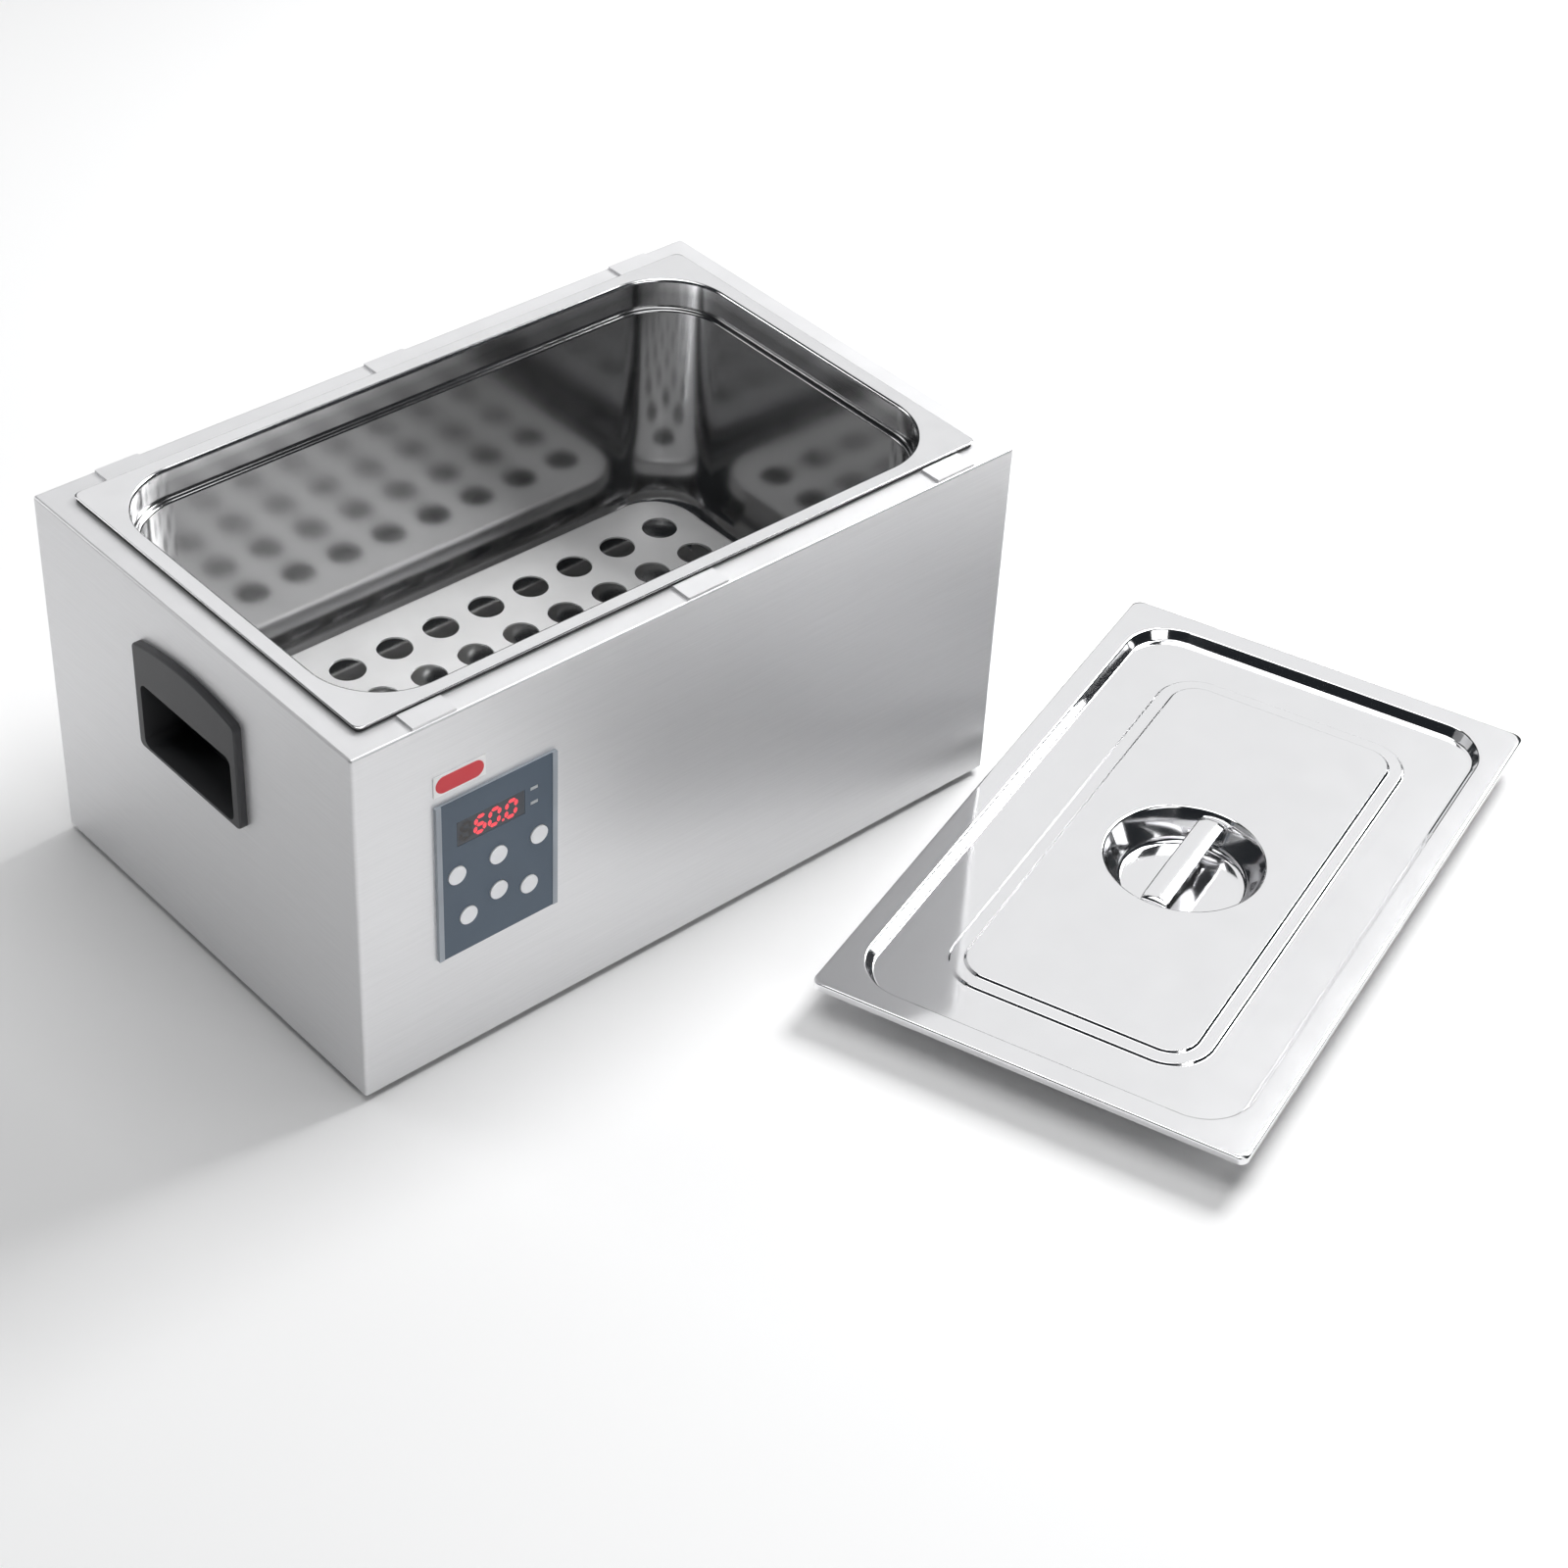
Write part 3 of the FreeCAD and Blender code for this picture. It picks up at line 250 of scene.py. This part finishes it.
def tank_metal():
    """Drawn steel with painted light set by height: a painted highlight on the rim, painted shade on the
    walls and a lighter painted floor.

    The painted shade and highlight are a choice of looks. The real tank is one sheet of one steel.
    """
    m = Nodes("tank_steel_painted_light")
    m.set(Metallic=1.0, Roughness=0.16)
    fine = m.noise(m.stretched((1.0, 1.0, 1.0)), 30.0, 3.0, 0.6)
    rim = RIM_TOP * MM
    floor_painted_light, wall_painted_shade, rim_painted_highlight = (0.62, 0.62, 0.62), (0.46, 0.46, 0.465), (0.84, 0.84, 0.85)
    # Base colours by height are painted light: a lighter painted floor, painted shade on the walls and a
    # painted highlight on the rim.
    tone = levels(m, [(0.09, floor_painted_light), (0.12, wall_painted_shade),
                      (rim - 0.012, wall_painted_shade), (rim - 0.001, rim_painted_highlight)])
    shade = m.add("ShaderNodeMix", data_type="RGBA", blend_type="MULTIPLY")
    shade.inputs["Factor"].default_value = 1.0
    m.link(tone, shade.inputs[6])
    m.link(m.ramp(fine, [(0.3, (0.95, 0.95, 0.95)), (0.7, (1.0, 1.0, 1.0))]), shade.inputs[7])
    m.link(shade.outputs[2], m.shader.inputs["Base Color"])
    m.link(m.spread(fine, 0.13, 0.19), m.shader.inputs["Roughness"])
    m.bump(fine, 0.004, 0.0002)
    return m.material


def plastic(name, colour, rough, scale=900.0, bump=0.08, tone=0.12):
    """Moulded plastic with a fine grain."""
    m = Nodes(name)
    grain = m.noise(m.stretched((1.0, 1.0, 1.0)), scale, 2.0)
    broad = m.noise(m.stretched((1.0, 1.0, 1.0)), 25.0, 2.0)
    darker = tuple(c * (1.0 - tone) for c in colour)
    m.link(m.ramp(broad, [(0.35, darker), (0.65, colour)]), m.shader.inputs["Base Color"])
    m.link(m.spread(grain, rough - 0.06, rough + 0.06), m.shader.inputs["Roughness"])
    m.bump(grain, bump, 0.0003)
    return m.material


def glow(name, colour, strength):
    m = Nodes(name)
    m.set(Base_Color=(*colour, 1.0), Emission_Color=(*colour, 1.0),
          Emission_Strength=strength, Roughness=0.4)
    return m.material


def paint(item, material):
    item.data.materials.clear()
    item.data.materials.append(material)


def finish_cad(names, material):
    """Gives CAD nodes a better material."""
    for name in names:
        for index in range(max(1, len(nodes[name].material_slots))):
            if nodes[name].material_slots:
                nodes[name].material_slots[index].material = material
            else:
                nodes[name].data.materials.append(material)


# ---------------------------------------------------------------- finishes

BRUSHED = (0.6, 0.6, 26.0)
EVEN = (1.0, 1.0, 1.0)
casing_steel = metal("casing_satin", (0.80, 0.80, 0.81), 0.42, BRUSHED, 40.0, 0.05, 0.05, 0.05, 0.72)
tank_steel_painted_light = tank_metal()
lid_steel = metal("lid_steel", (0.86, 0.86, 0.87), 0.09, EVEN, 30.0, 0.004, 0.03, 0.02)
plate_steel = metal("plate_steel", (0.98, 0.98, 0.98), 0.55, EVEN, 30.0, 0.006, 0.04, 0.03)
zinc = metal("zinc_sheet", (0.55, 0.56, 0.56), 0.5, EVEN, 12.0, 0.05, 0.1, 0.2)
aluminium = metal("aluminium", (0.75, 0.76, 0.77), 0.35, (1.0, 12.0, 1.0), 40.0)
brass = metal("brass", (0.70, 0.55, 0.28), 0.3)
black_plastic = plastic("grip_plastic", (0.052, 0.053, 0.057), 0.45)
grey_plastic = plastic("frame_plastic", (0.40, 0.44, 0.49), 0.4)
membrane = plastic("membrane_film", (0.075, 0.110, 0.155), 0.42, 2500.0, 0.03, 0.05)
lens = plastic("display_lens", (0.050, 0.058, 0.072), 0.25, 100.0, 0.0)
key_finish = plastic("key_finish", (0.95, 0.96, 0.98), 0.32, 1500.0, 0.02, 0.04)
lamp_finish = plastic("lamp_finish", (0.55, 0.58, 0.60), 0.3)
rubber = plastic("foot_rubber", (0.02, 0.02, 0.022), 0.75)
seal = plastic("rim_seal", (0.05, 0.05, 0.052), 0.6)
silicone = plastic("heater_silicone", (0.55, 0.20, 0.08), 0.6)
felt = plastic("felt_wrap", (0.75, 0.72, 0.66), 0.95, 500.0, 0.6)
board = plastic("board_green", (0.03, 0.20, 0.08), 0.35)
lead = plastic("lead_sleeve", (0.30, 0.03, 0.03), 0.5)
badge = plastic("badge_plain", (0.97, 0.97, 0.97), 0.3, 900.0, 0.02, 0.03)
red_enamel = plastic("red_enamel", (0.72, 0.03, 0.045), 0.35, 900.0, 0.02, 0.05)
red_light = glow("red_segments", (0.75, 0.05, 0.07), 0.8)
dark_segment = plastic("unlit_segments", (0.035, 0.030, 0.030), 0.4)


# ---------------------------------------------------------------- tank

def tank():
    """The drawn tank: rim, rounded mouth, stacking ledge, well and floor."""
    x, y, r = RIM_X - 13.0, RIM_Y - 12.5, 55.0
    ledge, draft, depth = 4.5, 1.6, 200.0
    path = bend_path([
        (RIM_X, RIM_Y, 5, RIM_TOP - 1.0, 0),
        (RIM_X, RIM_Y, 5, RIM_TOP, 0.8),
        (x + 5, y + 5, r + 5, RIM_TOP, 0),
        (x, y, r, RIM_TOP, 3.2),
        (x, y, r, RIM_TOP - 24, 1.7),
        (x - ledge, y - ledge, r - ledge, RIM_TOP - 24, 1.9),
        (x - ledge - draft, y - ledge - draft, r - ledge - draft, RIM_TOP - depth, 22.0),
        (x - 60, y - 60, 12, RIM_TOP - depth, 0),
    ], 8)
    item = weigh(thicken(shell("tank_skin", path), 1.0))
    paint(item, tank_steel_painted_light)
    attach(item, "bath")
    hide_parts("tank")


# ---------------------------------------------------------------- lid

def lay_lid(item):
    """Turns a lid piece, drawn about the origin, to where the lid lies."""
    centre = middle_of("lid_pan")
    turn = Matrix.Rotation(LID_TURN, 4, "Z")
    item.data.transform(Matrix.Translation((centre.x, centre.y, 0.0)) @ turn)


def lid_pan():
    """The pressed lid with its recess, two-step field and bowl."""
    x, y, r = RIM_X, RIM_Y, 7.0
    floor, step, slope = LID_TOP - 8.0, 1.5, 1.5
    field_x, field_y, field_r, inset = 205.0, 100.0, 34.0, 11.0
    field = floor + 2 * step
    path = bend_path([
        (x, y, r, LID_TOP - 6, 0),
        (x, y, r, LID_TOP, 1.6),
        (x - 10, y - 10, 44, LID_TOP, 0),
        (x - 18, y - 18, 38, LID_TOP, 2.2),
        (x - 22.5, y - 22.5, 33.5, floor, 2.2),
        (x - 40, y - 40, 34, floor, 0),
        (field_x, field_y, field_r, floor, 0.9),
        (field_x - slope, field_y - slope, field_r - slope, floor + step, 0.9),
        (field_x - inset / 2, field_y - inset / 2, field_r - inset / 2, floor + step, 0),
        (field_x - inset, field_y - inset, field_r - inset, floor + step, 0.9),
        (field_x - inset - slope, field_y - inset - slope, field_r - inset - slope, field, 0.9),
        (150, 75, 40, field, 0),
    ], 6)
    bowl = bend_path([
        (70, 70, 69.9, field, 0),
        (59, 59, 58.9, field, 2.5),
        (47, 47, 46.9, 0.8, 7.0),
        (10, 10, 9.9, 0.8, 0),
    ], 8)
    item = shell("lid_skin", path + bowl)
    lay_lid(item)
    weigh(thicken(item, 0.8))
    paint(item, lid_steel)
    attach(item, "lid")
    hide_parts("lid_pan")


def lid_strap():
    """The crowned strap across the bowl, its ends turned down to the bowl's wall."""
    bm = bmesh.new()
    half, crown, strips, rows = 10.0, 1.6, 12, []
    line = [(-54.5, 17.8), (-54.3, 20.0), (-53.6, 22.4), (-51.5, 24.0),
            (-48.5, 24.6), (-30, 24.9), (0, 25.0)]
    line += [(-u, w) for u, w in reversed(line[:-1])]
    for u, w in line:
        row = []
        for step in range(strips + 1):
            v = -half + 2 * half * step / strips
            lift = -crown * (v / half) ** 2
            row.append(bm.verts.new(Vector((u, v, w + lift)) * MM))
        rows.append(row)
    for one, two in zip(rows, rows[1:]):
        for i in range(strips):
            bm.faces.new((one[i], two[i], two[i + 1], one[i + 1]))
    item = finish_mesh("lid_strap", bm)
    lay_lid(item)
    smooth = item.modifiers.new("round", "SUBSURF")
    smooth.levels = smooth.render_levels = 1
    weigh(thicken(item, 1.5))
    paint(item, lid_steel)
    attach(item, "lid")
    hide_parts("lid_handle")


# ---------------------------------------------------------------- display

DIGIT_FACE = -184.36    # the plane the digits lie in, in millimetres
DIGIT_MIDDLE = 193.3
SEGMENTS = {
    "a": ((-1, 1), (1, 1)), "b": ((1, 1), (1, 0)), "c": ((1, 0), (1, -1)), "d": ((-1, -1), (1, -1)),
    "e": ((-1, 0), (-1, -1)), "f": ((-1, 1), (-1, 0)), "g": ((-1, 0), (1, 0)),
}
SHAPES = {"0": "abcdef", "6": "acdefg", "8": "abcdefg"}


def digit(bm, shape, x, z, half_w=3.7, half_h=6.3, stroke=1.5):
    """One seven-segment digit as flat bars on the lens."""
    for name in SHAPES[shape]:
        (x1, z1), (x2, z2) = SEGMENTS[name]
        start = Vector((x + x1 * half_w + z1 * 0.6, z + z1 * half_h))
        end = Vector((x + x2 * half_w + z2 * 0.6, z + z2 * half_h))
        along = (end - start).normalized()
        across = Vector((-along.y, along.x)) * stroke
        start, end = start + along * 0.5, end - along * 0.5
        outline = [start, start + along * stroke - across, end - along * stroke - across, end,
                   end - along * stroke + across, start + along * stroke + across]
        bm.faces.new([bm.verts.new(Vector((p.x, DIGIT_FACE, p.y)) * MM) for p in outline])


def digits():
    lit, dark = bmesh.new(), bmesh.new()
    digit(dark, "8", -199.5, DIGIT_MIDDLE)
    for shape, x in (("6", -188.0), ("0", -176.5), ("0", -163.0)):
        digit(lit, shape, x, DIGIT_MIDDLE)
    dot = [Vector((-170.6 + a, DIGIT_FACE, DIGIT_MIDDLE - 7.2 + b)) * MM
           for a, b in ((0, 0), (2.0, 0), (2.0, 2.0), (0, 2.0))]
    lit.faces.new([lit.verts.new(p) for p in dot])
    for name, bm, material in (("digits_lit", lit, red_light), ("digit_unlit", dark, dark_segment)):
        item = finish_mesh(name, bm, False)
        paint(item, material)
        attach(item, "bath")


def badge_stripe():
    """A plain red bar with round ends, raised on the badge."""
    low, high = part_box("blank_badge")
    y, rise, margin = low[1] / MM, 0.15, 1.4
    x0, x1, z0, z1 = (v / MM for v in (low[0], high[0], low[2], high[2]))
    radius = (z1 - z0) / 2 - margin
    middle = (z0 + z1) / 2
    bm = bmesh.new()
    outline = []
    for x, start in ((x1 - margin - radius, -90), (x0 + margin + radius, 90)):
        for step in range(17):
            angle = math.radians(start + 180 * step / 16)
            spot = Vector((x + radius * math.cos(angle), y - rise, middle + radius * math.sin(angle)))
            outline.append(bm.verts.new(spot * MM))
    face = bm.faces.new(outline)
    back = bmesh.ops.extrude_face_region(bm, geom=[face])
    verts = [v for v in back["geom"] if isinstance(v, bmesh.types.BMVert)]
    bmesh.ops.translate(bm, verts=verts, vec=(0.0, (rise + 0.2) * MM, 0.0))
    bmesh.ops.recalc_face_normals(bm, faces=bm.faces)
    item = finish_mesh("badge_stripe", bm, False)
    paint(item, red_enamel)
    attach(item, "bath")


# ---------------------------------------------------------------- floor, camera and light

FLOOR_DROP = -0.0003


def floor():
    bm = bmesh.new()
    bmesh.ops.create_grid(bm, x_segments=1, y_segments=1, size=12.0)
    item = finish_mesh("floor", bm, False)
    item.location.z = FLOOR_DROP
    m = Nodes("floor_paper")
    m.set(Base_Color=(0.92, 0.92, 0.92, 1.0), Roughness=0.9)
    m.shader.inputs["Specular IOR Level"].default_value = 0.1
    paint(item, m.material)


CAMERA_AT = (-1.1849, -1.5213, 1.5818)
CAMERA_AIM = (46.625, -39.003, 3.237)    # azimuth, elevation and roll, in degrees


def camera():
    azimuth, elevation, roll = (math.radians(v) for v in CAMERA_AIM)
    ahead = Vector((math.cos(elevation) * math.cos(azimuth), math.cos(elevation) * math.sin(azimuth),
                    math.sin(elevation)))
    right = ahead.cross(Vector((0, 0, 1))).normalized()
    up = right.cross(ahead)
    cam_x = math.cos(roll) * right + math.sin(roll) * up
    cam_y = -math.sin(roll) * right + math.cos(roll) * up
    data = bpy.data.cameras.new("camera")
    data.lens = 77.14
    data.sensor_width = 36.0
    data.clip_end = 60.0
    item = new_object("camera", data)
    item.matrix_world = Matrix.Translation(CAMERA_AT) @ \
        Matrix((cam_x, cam_y, -ahead)).transposed().to_4x4()
    bpy.context.scene.camera = item


def area(name, place, target, size, power):
    """A rectangular lamp at one point, turned to face another; power is in watts."""
    data = bpy.data.lights.new(name, "AREA")
    data.shape = "RECTANGLE"
    data.size, data.size_y = size
    data.energy = power
    item = new_object(name, data)
    item.location = place
    item.rotation_euler = (Vector(target) - Vector(place)).to_track_quat("-Z", "Y").to_euler()


def lights():
    """A dark studio: a key lamp on the right, a wide box behind, one overhead, two weak fills."""
    world = bpy.data.worlds.new("studio")
    world.use_nodes = True
    background = world.node_tree.nodes["Background"]
    background.inputs["Color"].default_value = (0.55, 0.62, 0.72, 1.0)
    background.inputs["Strength"].default_value = 0.03
    bpy.context.scene.world = world
    area("key", (1.9, -0.1, 1.8), (0.0, -0.1, 0.1), (1.0, 1.0), 56.0)
    area("back_softbox", (1.75, 1.75, 2.0), (0.15, -0.15, 0.1), (3.2, 2.2), 20.0)
    area("top_softbox", (0.0, -0.2, 3.0), (0.0, -0.2, 0.0), (2.4, 2.4), 44.0)
    area("left_fill", (-1.1, 1.5, 0.8), (-0.28, 0.1, 0.15), (0.8, 0.8), 6.0)
    area("front_fill", (-0.2, -2.4, 1.2), (0.0, -0.2, 0.15), (1.6, 1.0), 12.0)


# ---------------------------------------------------------------- assembly

tank()
lid_pan()
lid_strap()
digits()
badge_stripe()

RIM_TABS = ["rim_tab_%s_%s" % (side, place) for side in ("front", "back")
            for place in ("left", "middle", "right")]
finish_cad(["outer_casing"] + RIM_TABS, casing_steel)
finish_cad(["false_bottom"], plate_steel)
finish_cad(["handle_left", "handle_right", "solid_state_relay", "terminal_block", "mains_inlet",
            "safety_thermostat", "buzzer", "transformer", "display_module"], black_plastic)
finish_cad(["panel_frame", "board_spacers"], grey_plastic)
finish_cad(["membrane_overlay"], membrane)
finish_cad(["display_window"], lens)
finish_cad(["key_minus", "key_plus", "key_set", "key_start", "key_temperature", "key_timer"], key_finish)
finish_cad(["indicator_lamps"], lamp_finish)
finish_cad(["foot_back_left", "foot_back_right", "foot_front_left", "foot_front_right"], rubber)
finish_cad(["rim_gasket"], seal)
finish_cad(["front_heater", "back_heater", "bottom_heater"], silicone)
finish_cad(["tank_insulation", "base_insulation"], felt)
finish_cad(["control_board", "power_board", "tact_switches"], board)
finish_cad(["panel_lead", "mains_lead", "heater_lead"], lead)
finish_cad(["base_plate"], zinc)
finish_cad(["heat_sink"], aluminium)
finish_cad(["earth_stud"], brass)
finish_cad(["blank_badge"], badge)
finish_cad(["foot_screws", "base_screws", "handle_screws", "inlet_screws", "temperature_probe",
            "probe_clamp", "thermostat_bulb", "capillary"], aluminium)

floor()
camera()
lights()
bpy.context.scene.view_settings.view_transform = "Standard"
